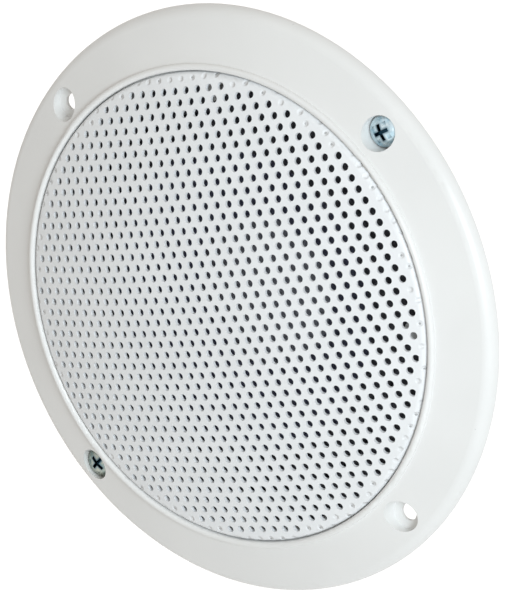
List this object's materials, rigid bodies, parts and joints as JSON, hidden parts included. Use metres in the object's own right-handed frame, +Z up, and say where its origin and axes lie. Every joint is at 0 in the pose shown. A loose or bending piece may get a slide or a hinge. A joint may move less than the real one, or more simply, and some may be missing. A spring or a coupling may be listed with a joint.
{
  "type": "loudspeaker",
  "caption": "Round flush-mount loudspeaker: moulded bezel with screw recesses, domed perforated grille, and a sprung cone driver with push-on terminals behind.",
  "frame": {"origin": "centre of the circle of mounting screws, in the plane of the wall surface that the bezel's rear edge rests on", "axes": "+Y into the wall, along the loudspeaker's axis; +Z up; +X to the right as seen from the room; the grille faces -Y"},
  "size_m": [0.16, 0.0698, 0.16],
  "materials": {
    "bezel_plastic": "satin",
    "grille_coating": "matte powder coat",
    "foam": "matte foam",
    "zinc": "zinc plated",
    "gasket_rubber": "matte",
    "surround_rubber": "satin",
    "cone_pulp": "matte",
    "cap_film": "satin",
    "former_film": "satin",
    "copper": "enamelled wire",
    "spider_cloth": "impregnated cloth",
    "frame_steel": "satin black",
    "motor_steel": "zinc plated",
    "ferrite": "sintered ferrite",
    "board": "laminate",
    "tab_positive": "bright",
    "tab_negative": "tinned",
    "lead_wire": "braided tinsel"
  },
  "bodies": {
    "chassis": {"bezel": "bezel_plastic", "grille": "grille_coating", "mounting_gasket": "foam", "screw_top_right": "zinc", "screw_bottom_left": "zinc", "cone_gasket": "gasket_rubber", "surround": "surround_rubber", "spider": "spider_cloth", "basket": "frame_steel", "basket_screws": "zinc", "top_plate": "motor_steel", "plate_rivets": "motor_steel", "magnet": "ferrite", "yoke": "motor_steel", "terminal_board": "board", "board_rivets": "tab_positive", "terminal_positive": "tab_positive", "terminal_negative": "tab_negative", "lead_positive": "lead_wire", "lead_negative": "lead_wire"},
    "diaphragm": {"cone": "cone_pulp", "dust_cap": "cap_film", "coil_former": "former_film", "voice_coil": "copper"}
  },
  "joints": [
    {"name": "cone_travel", "type": "slide", "parent": "chassis", "child": "diaphragm", "axis": [0, -1, 0], "range_m": [-0.0025, 0.0025], "stiffness_N_per_m": 1500, "deforming": ["surround", "spider", "lead_positive", "lead_negative"]}
  ]
}
